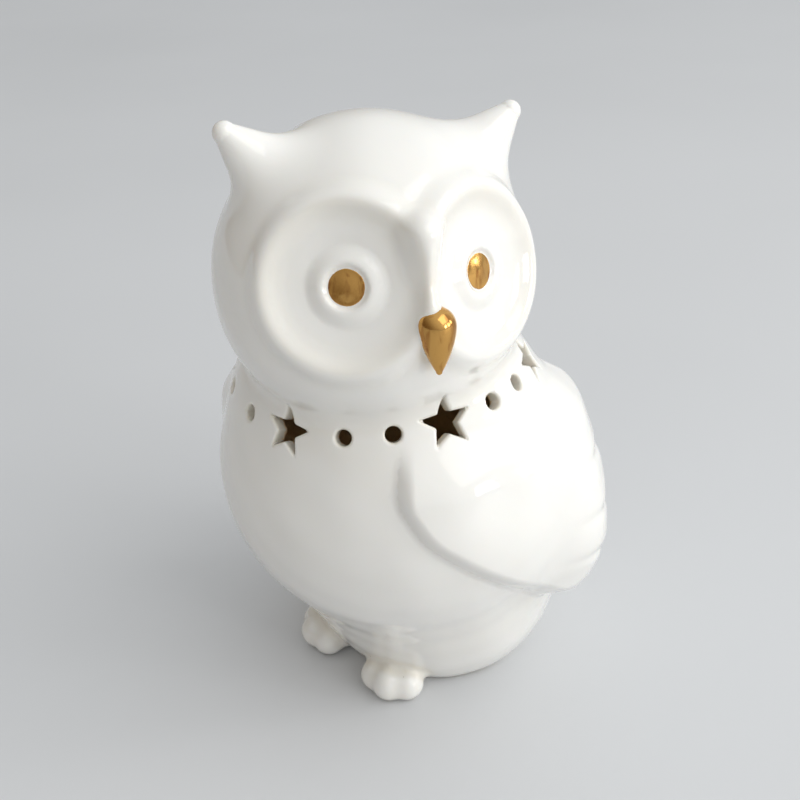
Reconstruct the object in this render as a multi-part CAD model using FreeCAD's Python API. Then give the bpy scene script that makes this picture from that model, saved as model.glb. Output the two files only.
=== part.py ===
import FreeCAD, Part
import math
import os
from FreeCAD import Placement, Rotation, Vector

# Hollow glazed-ceramic owl night light with a pull-out battery LED candle.
# Millimetres, +Z up, origin on the table at the middle of the bounding box.
# The owl's body faces -Y, its left side is +X, and its head is turned to its left.
# Shapes are made round the pierced collar's axis and moved by NECK_Y when written.

# ---- driving dimensions -------------------------------------------------------
WALL = 4.2              # cast wall
NECK_Y = -7.7           # pierced collar's axis, from the origin
BASE_Y = 12.5           # base and lamp axis, behind the collar's axis
SEAM_Z = 92.0           # flat joint where head and body are luted together
FLOOR_T = 6.0           # thickness of the closed bottom round the lamp bore
RELIEF = 2.8            # how far the folded wing stands off the body

# soft blend of ellipsoids: (centre from the collar axis), (half sizes)
BELLY = ((0, 2.7, 57.3), (46.4, 42.0, 41.8))
SEAT = ((0, BASE_Y, 25.5), (36.5, 33.5, 35.5))
COLLAR = ((0, 0, 82.1), (33.4, 31.0, 24.0))
BACK = ((0, 15.0, 51.0), (45.5, 27.0, 31.0))
BLEND = 12.0
BACK_BLEND = 3.0
TAIL_ROOT = (0, -26, 30, 17.0)          # side, forward, up, radius
TAIL_TIP = (0, -46, 20, 9.0)
WING_INNER = 8.0                        # nearest that a wing comes to the middle plane
WING_SKIN = 0.15                        # how far the wing's faded part stands off the body
WING_FADE = (86.0, 14.0)                # top of the fade and its height

HEAD_C = Vector(3.9, -3.8, 111.0)
HEAD_R = 35.2
HEAD_YAW = 68.0         # turned to the owl's left
HEAD_PITCH = 3.4        # face lifted
HEAD_ROLL = -4.0        # head cocked sideways

EYE_AZ = 28.5
EYE_EL = 12.0
DISC_R = 18.0           # crest of the facial disc's rim
DISC_FLOOR = 29.3       # disc floor, from the head's centre
DISC_RISE = 1.8         # how far the disc's floor climbs to its rim
RIM_RISE = 2.4          # rim's crest above the disc's floor
RIM_ROUND = 1.3         # rounding of the rim's outer edge
RIM_ROOT = 18.0         # where the rim's pad starts, inside the head
LID_R = 5.6             # raised ring round a pupil, to the middle of its tube
LID_T = 1.0
PUPIL_R = 3.65
PUPIL_BALL = 4.6
PUPIL_SINK = 2.4        # how far the pupil ball's centre lies under the disc's floor
GOLD_T = 0.25           # stand-in thickness of the gold lustre

EAR_ROOT = (17.5, 2.4, 20.0, 9.4)       # side, forward, up, radius
EAR_TIP = (29.1, 3.2, 32.2, 4.6)
BEAK_TOP = (0, 34.0, 0.2, 3.9)
BEAK_TIP = (0, 36.6, -11.2, 0.8)

# the hand-cut pattern: bearings in degrees from the owl's front towards its left
RING_STARS = (11, 72, 127, 187, 247, 305)
RING_HOLES = (35, 53, 92, 107, 147, 167, 207, 227, 266, 285, 324, 348)
RING_Z = 85.4           # mean height of the pattern
RING_SLOPE = (2.4, 38.0)                # how far it climbs, and the bearing where it is level
RING_LIFT = 26.0        # the cuts point up this much, square to the sloping skin
RING_R = 34.6           # skin's radius at the pattern
CUT_IN = 10.0
CUT_OUT = 3.6
HOLE_R = 1.75
STAR_R = 4.9
STAR_INNER = 0.42       # inner corner radius over outer

BORE_R = 19.2
RECESS_R = 21.0
RECESS_H = 2.0

FOOT = (10.4, -6.2, 21.6)               # side, forward place, splay in degrees
TOE_SPREAD = 24.0
TOE_R = 4.9
TOE_LEN = 10.9

# lamp unit, measured from the lamp axis and the table
CUP_R = 18.2
CUP_T = 1.2
CUP_TOP = 19.0
FLANGE_R = 20.4
FLANGE_Z = 0.7
FLANGE_T = 1.2
BARREL_TOP = 7.0
POCKET_X = -3.5         # coin cell's centre
CELL_R = 10.0
CELL_H = 3.2
CELL_Z = 2.0
POCKET_R = 10.3
POCKET_TOP = 5.7
CLIP_T = 0.15
DOOR_R = 11.7
DOOR_T = 1.0
DOOR_Z = 0.8
HINGE_X = -16.2
HINGE_Z = 1.3
HINGE_W = 8.0
SCREW_X = 8.6
SCREW_SWING = 0.45      # the captive screw leans this far as the door swings out
SWITCH_Y = 14.4
SWITCH_TRAVEL = 2.5
POST_R = 3.4
LED_R = 2.5
LED_Z = 16.0
LEAD_X = 1.27
LEAD_R = 0.3
LENS_R = 4.8
LENS_T = 0.9
LENS_TOP = 35.0
GAP = 0.3               # play between plastic parts that move
PIN_R = 0.4
PIN_L = 12.0
SCREW_R = 0.8
SCREW_TOP = 5.4
SCREW_HEAD_R = 1.6
SCREW_HEAD_T = 0.5
STRIP_T = 0.25          # contact strips
CASE_H = 3.4            # switch housing

WORLD = 200.0           # a size larger than the whole object

SECTION_POINTS = 24
Z_AXIS = Vector(0, 0, 1)


# ---- helpers ------------------------------------------------------------------
def soft_min(a, b, blend):
    h = min(max(0.5 + 0.5 * (b - a) / blend, 0.0), 1.0)
    return b + (a - b) * h - blend * h * (1.0 - h)


def ellipsoid_gap(point, centre, half):
    """About how far a point is outside an ellipsoid, negative inside."""
    q = [point[i] - centre[i] for i in range(3)]
    near = math.sqrt(sum((q[i] / half[i]) ** 2 for i in range(3)))
    slope = math.sqrt(sum((q[i] / half[i] ** 2) ** 2 for i in range(3)))
    return near * (near - 1.0) / max(slope, 1e-9)


def body_gap(point):
    gap = ellipsoid_gap(point, *BELLY)
    gap = soft_min(gap, ellipsoid_gap(point, *BACK), BACK_BLEND)
    gap = soft_min(gap, ellipsoid_gap(point, *SEAT), BLEND)
    return soft_min(gap, ellipsoid_gap(point, *COLLAR), BLEND)


def skin_point(angle, z, offset):
    """The point at this height and bearing where the body's skin, grown by offset, lies."""
    middle_y = BASE_Y * max(0.0, 1.0 - z / 60.0)
    low, high = 0.0, 80.0
    for _ in range(40):
        r = 0.5 * (low + high)
        p = (r * math.sin(angle), middle_y - r * math.cos(angle), z)
        if body_gap(p) < offset:
            low = r
        else:
            high = r
    return Vector(*p)


def section(z, offset):
    points = [skin_point(2 * math.pi * i / SECTION_POINTS, z, offset)
              for i in range(SECTION_POINTS)]
    curve = Part.BSplineCurve()
    curve.interpolate(Points=points, PeriodicFlag=True)
    return Part.Wire([curve.toShape()])


def body_loft(heights, offset):
    return Part.makeLoft([section(z, offset(z)) for z in heights], True, False)


def tapered_bar(a, b):
    """Two balls and the cone that touches both. Each end is (x, forward, up, radius)."""
    start = Vector(a[0], -a[1], a[2])
    end = Vector(b[0], -b[1], b[2])
    along = end - start
    length = along.Length
    along.normalize()
    lean = (a[3] - b[3]) / length
    side = math.sqrt(1.0 - lean * lean)
    cone = Part.makeCone(a[3] * side, b[3] * side, length - (a[3] - b[3]) * lean,
                         start + along * (a[3] * lean), along)
    bar = cone.fuse(Part.makeSphere(a[3], start))
    return bar.fuse(Part.makeSphere(b[3], end)).removeSplitter()


def ring(outer, inner, bottom, height, centre):
    base = centre + Z_AXIS * bottom
    tube = Part.makeCylinder(outer, height, base)
    return tube.cut(Part.makeCylinder(inner, height + 2, base - Z_AXIS))


def place_head(shape):
    turn = (Rotation(Z_AXIS, HEAD_YAW) * Rotation(Vector(1, 0, 0), -HEAD_PITCH)
            * Rotation(Vector(0, 1, 0), -HEAD_ROLL))
    shape = shape.copy()
    shape.Placement = Placement(HEAD_C, turn).multiply(shape.Placement)
    return shape


def eye_axis(side):
    az = math.radians(EYE_AZ) * side
    el = math.radians(EYE_EL)
    return Vector(math.sin(az) * math.cos(el), -math.cos(az) * math.cos(el), math.sin(el))


def on_eye(shape, side):
    """Turn a shape made along +Z so that it stands on one eye's axis."""
    shape = shape.copy()
    shape.Placement = Placement(Vector(0, 0, 0), Rotation(Z_AXIS, eye_axis(side)))
    return shape


# ---- the owl's outside ------------------------------------------------------------
def core():
    heights = (0, 4, 9, 16, 25, 35, 46, 57, 67, 75, 82, 88, 93, 98, 102)
    return body_loft(heights, lambda z: 0.0)


def wing_outline():
    """Side view of the left wing: round front edge, three feather tips behind."""
    front = [Vector(0, y, z) for y, z in
             ((-6, 88), (-19, 84), (-24.2, 76), (-24.2, 67), (-18, 56.5), (-5, 46.5), (10, 38.5),
              (24, 32), (36, 28.5))]
    edge = Part.BSplineCurve()
    edge.interpolate(Points=front)
    tips = [Part.Arc(Vector(0, 36, 28.5), Vector(0, 44.5, 31.0), Vector(0, 40, 39.0)),
            Part.Arc(Vector(0, 40, 39.0), Vector(0, 49.0, 43.0), Vector(0, 42, 52.0)),
            Part.Arc(Vector(0, 42, 52.0), Vector(0, 48.0, 58.5), Vector(0, 36, 68.0))]
    top = Part.LineSegment(Vector(0, 36, 68.0), Vector(0, -6, 88))
    return Part.Wire([edge.toShape()] + [t.toShape() for t in tips] + [top.toShape()])


def wing_lift(z):
    """The wing's relief fades out under the collar."""
    fade = min(max((WING_FADE[0] - z) / WING_FADE[1], 0.0), 1.0)
    return WING_SKIN + RELIEF * fade * fade * (3.0 - 2.0 * fade)


def wings():
    grown = body_loft((24, 32, 40, 48, 57, 66, 72, 77, 82, 87, 90), wing_lift)
    outline = Part.Face(wing_outline())
    outline.fix(1e-4, 1e-5, 1e-3)
    middle = Part.makeBox(2 * WING_INNER, WORLD, WORLD, Vector(-WING_INNER, -WORLD / 2, 0))
    sides = [outline.extrude(Vector(side * WORLD / 2, 0, 0)) for side in (1, -1)]
    return [side.common(grown).cut(middle) for side in sides]


def tail():
    return tapered_bar(TAIL_ROOT, TAIL_TIP)


def foot(side):
    """Three round toes that fan out from under the belly."""
    toes = []
    for k in (-1, 0, 1):
        bearing = math.radians(side * FOOT[2] + k * TOE_SPREAD)
        step = (math.sin(bearing), math.cos(bearing))
        ball = TOE_R - 0.2 * k * k + 0.07 * k
        heel = (side * FOOT[0] + k * step[1], -FOOT[1] - k * step[0], ball + 0.8 - 0.4 * k, ball)
        reach = TOE_LEN - 0.8 * k * k
        tip = (side * FOOT[0] + reach * step[0], -FOOT[1] + reach * step[1],
               ball * 0.88, ball * 0.9)
        toes.append(tapered_bar(heel, tip))
    return toes[1].fuse(toes[0]).fuse(toes[2])


def beak(grow):
    top = BEAK_TOP[:3] + (BEAK_TOP[3] + grow,)
    tip = BEAK_TIP[:3] + (BEAK_TIP[3] + grow,)
    return tapered_bar(top, tip)


def rim_pad():
    """Round-edged drum along +Z that leaves a raised rim once its dish is cut."""
    radius = DISC_R + RIM_ROUND
    crest = DISC_FLOOR + RIM_RISE
    corner = RIM_ROUND * (1.0 - math.sqrt(0.5))
    drum_side = Part.makeLine(Vector(radius, 0, RIM_ROOT), Vector(radius, 0, crest - RIM_ROUND))
    shoulder = Part.Arc(Vector(radius, 0, crest - RIM_ROUND),
                        Vector(radius - corner, 0, crest - corner),
                        Vector(radius - RIM_ROUND, 0, crest)).toShape()
    top = Part.makeLine(Vector(radius - RIM_ROUND, 0, crest), Vector(0, 0, crest))
    axis = Part.makeLine(Vector(0, 0, crest), Vector(0, 0, RIM_ROOT))
    bottom = Part.makeLine(Vector(0, 0, RIM_ROOT), Vector(radius, 0, RIM_ROOT))
    return Part.Face(Part.Wire([drum_side, shoulder, top, axis, bottom])).revolve(
        Vector(0, 0, 0), Z_AXIS, 360)


def dish(radius, floor):
    """Cutter for one facial disc: a cylinder along +Z with a shallow bowl at its bottom."""
    edge = floor + DISC_RISE
    lid_z = HEAD_R + 8
    bowl = Part.Arc(Vector(0, 0, floor), Vector(radius * 0.55, 0, floor + DISC_RISE * 0.32),
                    Vector(radius, 0, edge)).toShape()
    side = Part.makeLine(Vector(radius, 0, edge), Vector(radius, 0, lid_z))
    lid = Part.makeLine(Vector(radius, 0, lid_z), Vector(0, 0, lid_z))
    axis = Part.makeLine(Vector(0, 0, lid_z), Vector(0, 0, floor))
    return Part.Face(Part.Wire([bowl, side, lid, axis])).revolve(Vector(0, 0, 0), Z_AXIS, 360)


def pupil_ball(grow):
    ball = Part.makeSphere(PUPIL_BALL + grow, Vector(0, 0, DISC_FLOOR - PUPIL_SINK))
    keep = Part.makeCylinder(PUPIL_R + grow, 6, Vector(0, 0, DISC_FLOOR - 0.4))
    return ball.common(keep)


def head_outside():
    """Head ball with ears and facial discs, in the head's own frame at its centre."""
    head = Part.makeSphere(HEAD_R)
    parts = []
    for side in (-1, 1):
        root = (side * EAR_ROOT[0],) + EAR_ROOT[1:]
        tip = (side * EAR_TIP[0],) + EAR_TIP[1:]
        parts.append(tapered_bar(root, tip))
        parts.append(on_eye(rim_pad(), side))
    head = head.fuse(parts)
    for side in (-1, 1):
        head = head.cut(on_eye(dish(DISC_R - 1.0, DISC_FLOOR), side))
    details = [beak(0.0)]
    for side in (-1, 1):
        details.append(on_eye(pupil_ball(0.0), side))
        lid = Part.makeTorus(LID_R, LID_T, Vector(0, 0, DISC_FLOOR))
        details.append(on_eye(lid, side))
    return head.fuse(details)


# ---- the owl's inside -------------------------------------------------------------
def cavity():
    inside = body_loft((FLOOR_T, 10, 16, 25, 35, 46, 57, 67, 75, 82, 88, 93, 97), lambda z: -WALL)
    crown = Part.makeSphere(HEAD_R - WALL)
    for side in (-1, 1):
        crown = crown.cut(on_eye(dish(DISC_R + 2.6, DISC_FLOOR - WALL), side))
    return inside.fuse(place_head(crown))


def star(depth):
    points = []
    for i in range(11):
        r = STAR_R if i % 2 == 0 else STAR_R * STAR_INNER
        a = math.pi / 5 * i
        points.append(Vector(r * math.sin(a), 0, r * math.cos(a)))
    face = Part.Face(Part.makePolygon(points))
    return face.extrude(Vector(0, -depth, 0))


def piercings():
    """Stars and holes round the collar, cut square to the sloping skin."""
    cuts = []
    for bearing in RING_STARS + RING_HOLES:
        height = RING_Z + RING_SLOPE[0] * math.sin(math.radians(bearing - RING_SLOPE[1]))
        if bearing in RING_STARS:
            cut = star(CUT_IN + CUT_OUT)
        else:
            cut = Part.makeCylinder(HOLE_R, CUT_IN + CUT_OUT, Vector(), Vector(0, -1, 0))
        cut.translate(Vector(0, CUT_IN, 0))
        cut.rotate(Vector(), Vector(1, 0, 0), -RING_LIFT)
        cut.translate(Vector(0, -RING_R, height))
        cut.rotate(Vector(), Z_AXIS, bearing)
        cuts.append(cut)
    return cuts


def base_cuts():
    lamp_axis = Vector(0, BASE_Y, 0)
    bore = Part.makeCylinder(BORE_R, FLOOR_T + 6, lamp_axis - Z_AXIS * 2)
    recess = Part.makeCylinder(RECESS_R, RECESS_H + 2, lamp_axis - Z_AXIS * 2)
    below = Part.makeBox(WORLD, WORLD, WORLD, Vector(-WORLD / 2, -WORLD / 2, -WORLD))
    return [bore, recess, below]


def castings(face):
    outside = core().fuse(wings() + [tail(), foot(-1), foot(1)])
    outside = outside.fuse(place_head(face))
    shell = outside.cut(cavity())
    shell = shell.cut(base_cuts())
    shell = shell.cut(piercings())
    above = Part.makeBox(WORLD, WORLD, WORLD, Vector(-WORLD / 2, -WORLD / 2, SEAM_Z))
    return {"body_casting": shell.cut(above), "head_casting": shell.common(above)}


# ---- gold lustre ------------------------------------------------------------------
def gilding(outside):
    """Thin skins over the beak and the two pupils, kept off the bare ceramic."""
    skins = {"beak_gilding": beak(GOLD_T).cut(outside)}
    for side, name in ((-1, "pupil_gilding_right"), (1, "pupil_gilding_left")):
        skins[name] = on_eye(pupil_ball(GOLD_T), side).cut(outside)
    return {name: place_head(skin) for name, skin in skins.items()}


# ---- lamp unit --------------------------------------------------------------------
def drum(radius, bottom, top, x=0.0, y=0.0):
    return Part.makeCylinder(radius, top - bottom, Vector(x, y, bottom))


def block(x0, x1, y0, y1, z0, z1):
    return Part.makeBox(x1 - x0, y1 - y0, z1 - z0, Vector(x0, y0, z0))


def door_plate(grow, bottom, top):
    """Round lid with a hinge tab on one side and a screw ear on the other."""
    plate = drum(DOOR_R + grow, bottom, top, POCKET_X)
    plate = plate.fuse(drum(2.4 + grow, bottom, top, SCREW_X))
    half = HINGE_W / 2 + grow
    return plate.fuse(block(HINGE_X, POCKET_X, -half, half, bottom, top))


def hinge_pin():
    return Part.makeCylinder(PIN_R, PIN_L, Vector(HINGE_X, -PIN_L / 2, HINGE_Z), Vector(0, 1, 0))


def lamp_base():
    base = drum(FLANGE_R, FLANGE_Z, FLANGE_Z + FLANGE_T)
    base = base.fuse(drum(CUP_R - CUP_T - 0.1, FLANGE_Z + FLANGE_T, BARREL_TOP))
    base = base.fuse(drum(POST_R, BARREL_TOP, LED_Z))
    hinge_half = HINGE_W / 2 + GAP
    screw_well = drum(SCREW_R + 0.05, 1, SCREW_TOP + 0.6, SCREW_X)
    cuts = [door_plate(GAP, FLANGE_Z - 1, DOOR_Z + DOOR_T + 0.1),
            block(HINGE_X - 0.9, HINGE_X, -hinge_half, hinge_half, FLANGE_Z - 1, DOOR_Z + 1.4),
            drum(POCKET_R, FLANGE_Z, POCKET_TOP, POCKET_X),
            screw_well.fuse(screw_well.translated(Vector(SCREW_SWING, 0, 0))),
            block(-4.3, 4.3, SWITCH_Y - 1.9, SWITCH_Y + 1.9, FLANGE_Z + FLANGE_T, BARREL_TOP + 1),
            block(-2.4, 2.4, SWITCH_Y - 1.1, SWITCH_Y + 1.1, FLANGE_Z - 1, 3),
            hinge_pin()]
    for x in (-LEAD_X, LEAD_X):
        cuts.append(drum(LEAD_R + 0.15, POCKET_TOP - 1, LED_Z + 1, x))
    return base.cut(cuts)


def lamp_cup():
    outer = drum(CUP_R, FLANGE_Z + FLANGE_T, CUP_TOP)
    outer = outer.makeFillet(2.0, [e for e in outer.Edges if e.CenterOfMass.z > CUP_TOP - 0.1])
    inner = drum(CUP_R - CUP_T, FLANGE_Z, CUP_TOP - CUP_T)
    return outer.cut([inner, drum(LENS_R + 0.2, 10, CUP_TOP + 1)])


def flame_shape(radius, tip):
    """Half outline of a candle flame, spun round the lamp axis."""
    foot_z = CUP_TOP - 2
    curve = Part.BSplineCurve()
    curve.interpolate(Points=[Vector(radius, 0, foot_z), Vector(radius, 0, foot_z + 4),
                              Vector(radius * 0.92, 0, foot_z + 8),
                              Vector(radius * 0.45, 0, tip - 3), Vector(0, 0, tip)])
    floor = Part.makeLine(Vector(0, 0, foot_z), Vector(radius, 0, foot_z))
    axis = Part.makeLine(Vector(0, 0, tip), Vector(0, 0, foot_z))
    return Part.Face(Part.Wire([floor, curve.toShape(), axis])).revolve(Vector(), Z_AXIS, 360)


def flame_lens():
    under = CUP_TOP - CUP_T
    lens = flame_shape(LENS_R, LENS_TOP).fuse(drum(LENS_R + 1.5, under - 1.2, under))
    hollow = flame_shape(LENS_R - LENS_T, LENS_TOP - 2.5)
    return lens.cut([hollow, drum(LENS_R - LENS_T, under - 2, CUP_TOP - 1)])


def led_lamp():
    lamp = drum(LED_R, LED_Z, LED_Z + 5).fuse(drum(LED_R + 0.4, LED_Z, LED_Z + 1))
    lamp = lamp.fuse(Part.makeSphere(LED_R, Vector(0, 0, LED_Z + 5)))
    return lamp.cut([drum(LEAD_R, LED_Z - 1, LED_Z + 2, x) for x in (-LEAD_X, LEAD_X)])


def led_leads():
    return Part.makeCompound([drum(LEAD_R, POCKET_TOP, LED_Z + 2, x) for x in (-LEAD_X, LEAD_X)])


def contact_spring():
    strip = block(POCKET_X - 6, -0.4, -1.5, 1.5, POCKET_TOP - STRIP_T, POCKET_TOP)
    return strip.fuse(drum(1.3, CELL_Z + CELL_H, POCKET_TOP, POCKET_X))


def contact_clip():
    wall_x = POCKET_X + CELL_R + 0.02
    outer_x = wall_x + CLIP_T
    strip = block(0.4, outer_x, -1.4, 1.4, POCKET_TOP - STRIP_T, POCKET_TOP)
    return strip.fuse(block(wall_x, outer_x, -1.4, 1.4, CELL_Z + 0.4, POCKET_TOP))


def battery_door():
    plate = door_plate(0.0, DOOR_Z, DOOR_Z + DOOR_T)
    knuckle = Part.makeCylinder(0.6, HINGE_W, Vector(HINGE_X, -HINGE_W / 2, HINGE_Z),
                                Vector(0, 1, 0))
    pin_hole = Part.makeCylinder(0.45, HINGE_W + 2, Vector(HINGE_X, -HINGE_W / 2 - 1, HINGE_Z),
                                 Vector(0, 1, 0))
    screw_hole = drum(SCREW_R + 0.05, DOOR_Z - 1, DOOR_Z + DOOR_T + 1, SCREW_X)
    screw_seat = drum(SCREW_HEAD_R + 0.1, DOOR_Z - 1, DOOR_Z + SCREW_HEAD_T, SCREW_X)
    return plate.fuse(knuckle).cut([pin_hole, screw_hole, screw_seat])


def door_screw():
    head = drum(SCREW_HEAD_R, DOOR_Z, DOOR_Z + SCREW_HEAD_T, SCREW_X)
    slots = [block(SCREW_X - 1, SCREW_X + 1, -0.15, 0.15, DOOR_Z - 0.1, DOOR_Z + 0.3),
             block(SCREW_X - 0.15, SCREW_X + 0.15, -1, 1, DOOR_Z - 0.1, DOOR_Z + 0.3)]
    return head.fuse(drum(SCREW_R, DOOR_Z, SCREW_TOP, SCREW_X)).cut(slots)


def switch_body():
    low = FLANGE_Z + FLANGE_T
    case = block(-4.2, 4.2, SWITCH_Y - 1.8, SWITCH_Y + 1.8, low, low + CASE_H)
    return case.cut(block(-3.7, 3.7, SWITCH_Y - 1.4, SWITCH_Y + 1.4, low - 1, low + 1.7))


def switch_slider():
    """At rest in its off position, half its travel towards the owl's right."""
    off = -SWITCH_TRAVEL / 2
    low = FLANGE_Z + FLANGE_T + 0.3
    plate = block(off - 2.3, off + 2.3, SWITCH_Y - 1.2, SWITCH_Y + 1.2, low, low + 1)
    knob = block(off - 0.95, off + 0.95, SWITCH_Y - 0.85, SWITCH_Y + 0.85, FLANGE_Z, low)
    return plate.fuse(knob)


def lamp_parts():
    shapes = {
        "lamp_base": lamp_base(),
        "lamp_cup": lamp_cup(),
        "flame_lens": flame_lens(),
        "led_lamp": led_lamp(),
        "led_leads": led_leads(),
        "battery_cell": drum(CELL_R, CELL_Z, CELL_Z + CELL_H, POCKET_X),
        "contact_spring": contact_spring(),
        "contact_clip": contact_clip(),
        "battery_door": battery_door(),
        "door_screw": door_screw(),
        "door_hinge_pin": hinge_pin(),
        "switch_body": switch_body(),
        "switch_slider": switch_slider(),
        "grip_ring": ring(BORE_R - 0.15, CUP_R, RECESS_H + 0.4, 3.2, Vector()),
    }
    return {name: s.translated(Vector(0, BASE_Y, 0)) for name, s in shapes.items()}


def main():
    os.makedirs("parts", exist_ok=True)
    face = head_outside()
    shapes = castings(face)
    shapes.update(gilding(face))
    shapes.update(lamp_parts())
    for name, shape in shapes.items():
        shape.translated(Vector(0, NECK_Y, 0)).exportStep("parts/%s.step" % name)
        print(name, shape.isValid(), len(shape.Solids), round(shape.Volume, 2))


main()
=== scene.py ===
"""A glazed, pierced ceramic owl with a gilded beak and pupils, standing over a small battery lamp."""

import math

import bmesh
import bpy
import numpy as np
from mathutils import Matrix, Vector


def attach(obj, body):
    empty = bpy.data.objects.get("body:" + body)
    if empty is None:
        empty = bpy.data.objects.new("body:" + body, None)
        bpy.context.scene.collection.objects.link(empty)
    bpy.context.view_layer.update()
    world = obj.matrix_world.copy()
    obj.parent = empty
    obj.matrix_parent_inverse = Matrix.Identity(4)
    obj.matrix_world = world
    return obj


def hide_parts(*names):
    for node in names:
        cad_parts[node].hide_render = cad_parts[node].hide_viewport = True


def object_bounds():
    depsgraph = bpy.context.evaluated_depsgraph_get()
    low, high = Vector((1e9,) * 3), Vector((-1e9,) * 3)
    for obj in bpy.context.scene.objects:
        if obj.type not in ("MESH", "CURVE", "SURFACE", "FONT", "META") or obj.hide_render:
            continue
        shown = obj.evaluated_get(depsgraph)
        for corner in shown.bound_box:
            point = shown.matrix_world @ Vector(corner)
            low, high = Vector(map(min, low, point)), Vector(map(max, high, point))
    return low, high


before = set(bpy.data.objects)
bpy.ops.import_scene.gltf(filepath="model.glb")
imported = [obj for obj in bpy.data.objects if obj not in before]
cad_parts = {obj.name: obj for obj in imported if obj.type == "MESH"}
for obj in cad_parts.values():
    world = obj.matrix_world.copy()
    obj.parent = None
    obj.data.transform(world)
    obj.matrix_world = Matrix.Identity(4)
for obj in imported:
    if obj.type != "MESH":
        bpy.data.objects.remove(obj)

import openvdb
from bpy.props import FloatProperty, FloatVectorProperty, IntProperty, PointerProperty
from bpy.types import Operator, Panel, PropertyGroup
from mathutils import Matrix, Vector

bl_info = {
    "name": "Pierced ceramic owl",
    "version": (1, 0, 0),
    "blender": (4, 5, 0),
    "location": "View3D > Sidebar > Owl",
    "description": "Builds a glazed owl, its gilding, the finishes of its lamp and a studio to see them in",
    "category": "Add Mesh",
}

CAD_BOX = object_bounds()
MM = 0.001
FAR = 9.0

# ---- the owl's form, in millimetres from the middle of its base --------------------
NECK = np.array((0.0, -7.7, 0.0), np.float32)
LAMP = (0.0, 4.8)
BELLY = ((0, 2.7, 57.3), (46.4, 42.0, 41.8))
BACK = ((0, 15.0, 51.0), (45.5, 27.0, 31.0))
SEAT = ((0, 12.5, 24.6), (35.9, 33.2, 34.8))
COLLAR = ((0, 0, 82.1), (33.4, 31.0, 24.0))
BACK_BLEND = 3.0
BODY_BLEND = 12.0
HEAD = (3.9, -3.8, 111.0)
HEAD_R = 35.2
HEAD_TURN = (68.0, 3.4, -4.0)
EYE_TURN = 28.5
EYE_LIFT = 12.0
EYE_DEPTH = 29.3
RIM = (29.0, 2.9, 1.5, 3.0)      # the disc's roll: its place along the axis, radius, inset, blend
DISH = (2.0, 2.2, 0.8, 5.0, 2.4)  # the disc's bowl: rise, power, inset, corner, edge
BOSS = (1.5, 8.8, 3.8)            # the mound round a pupil: height, radius, width of its slope
SOCKET = (0.6, 4.9, 1.1)          # the dip that the pupil sits in: depth, radius, width of its slope
PUPIL_BALL = (11.5, 10.2)         # the pupil's dome: its radius, and how deep its middle lies
BROW = ((0, 32.4, 17.0, 2.0), (0, 32.0, 11.0, 1.6))
BRIDGE = ((0, 30.6, 17.0, 2.8), (0.4, 30.3, 10.5, 2.0))
FACE_BLEND = 4.0
HEAD_BLEND = 3.2
EAR_BLEND = 5.5
EAR_ROOT = (18.4, 2.0, 20.4, 11.4)
EAR_TIP = (31.2, 2.6, 33.2, 2.5)
BEAK_TOP = (1.1, 35.6, -0.4, 3.8)
BEAK_TIP = (1.1, 36.9, -9.6, 0.6)
BEAK_TAPER = 1.7
BEAK_BLEND = 0.7
TAIL = ((0, 26, 30, 17.0), (0, 46, 20, 9.0))
TAIL_BLEND = 8.0
RING_STARS = (11, 72, 127, 187, 247, 305)
RING_HOLES = (35, 53, 92, 107, 147, 167, 207, 227, 266, 285, 324, 348)
RING_HEIGHT = 85.4
RING_SLOPE = (2.4, 38.0)
RING_LIFT = 26.0
RING_SKIN = 34.6
CUT_REACH = (3.6, 10.0)           # how far a cut runs out of the collar's skin, and in
CUT_EDGE = 0.75
STAR_WAIST = 0.43
FLOOR = 6.0
BORE = 19.2
RECESS = (21.0, 2.0)
FOOT = (10.4, -6.2, 21.6)
TOE = (25.0, 5.0, 10.9)
TOE_BLEND = 1.5
FOOT_BLEND = 2.4

# The left wing's outline: degrees round the neck from the front, and height.
WING_EDGE = (
    ((60, 88), (56, 85), (54.2, 81.5), (53.2, 77.5), (52.6, 74), (53, 71), (55.2, 67.8),
     (59.4, 62.8), (66.5, 57.6), (74, 52.3), (82, 46.8), (90, 41.6), (98, 36.6), (105, 32),
     (111, 28.6), (117, 26.6), (123, 25.6), (129, 27), (134.5, 31), (135, 35), (132, 38.8)),
    ((132, 38.8), (138, 40), (142, 44.4), (140, 48.6), (134, 50.0)),
    ((134, 50.0), (141, 50.6), (147, 55), (146, 60.6), (139, 63.4)),
    ((139, 63.4), (147, 64.4), (153, 70), (153, 78), (144, 85), (122, 90), (100, 92), (78, 92),
     (60, 88)),
)
WING_VALLEYS = ((132, 38.8, 99, 45.5), (134, 50.0, 102, 55.5), (139, 63.4, 107, 67.5))
EDGE_CRISP = (0.3, 3.2, 2.2)      # the crisp share of a wing's edge: share, width, power
EDGE_SOFT = (0.7, 1.4, 4.8)       # the soft share: share, how far it starts outside, width
RIGHT_EDGE = (4.0, 9.0)           # the right wing's softer front: start outside, end inside
FRONT_TURN = (80, 25, 105)        # where that front gives way to the common edge, in degrees
WING_TOP = (85.5, 13.0)
FOLD_TURN = (95, 25)              # the folded feathers stand off behind this bearing
UPPER_FOLD = (2.2, 82, 8)         # height off the body, top, and width of the slope
LOWER_FOLD = (1.5, 54, 14)
FOLD_FOOT = (0.55, 0.45, 26, 9)
DIMPLE = (0.75, 84, 69, 8.5, 7.0)  # the wing's shallow dip: depth, bearing, height, half sizes
VALLEY = (1.1, 1.6)               # a feather valley's fading power and half width
WING_MM = 40.0 * math.pi / 180.0
WING_MAP = (20.0, 20.0, 0.4)     # the map's first width and height, and its step


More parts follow.
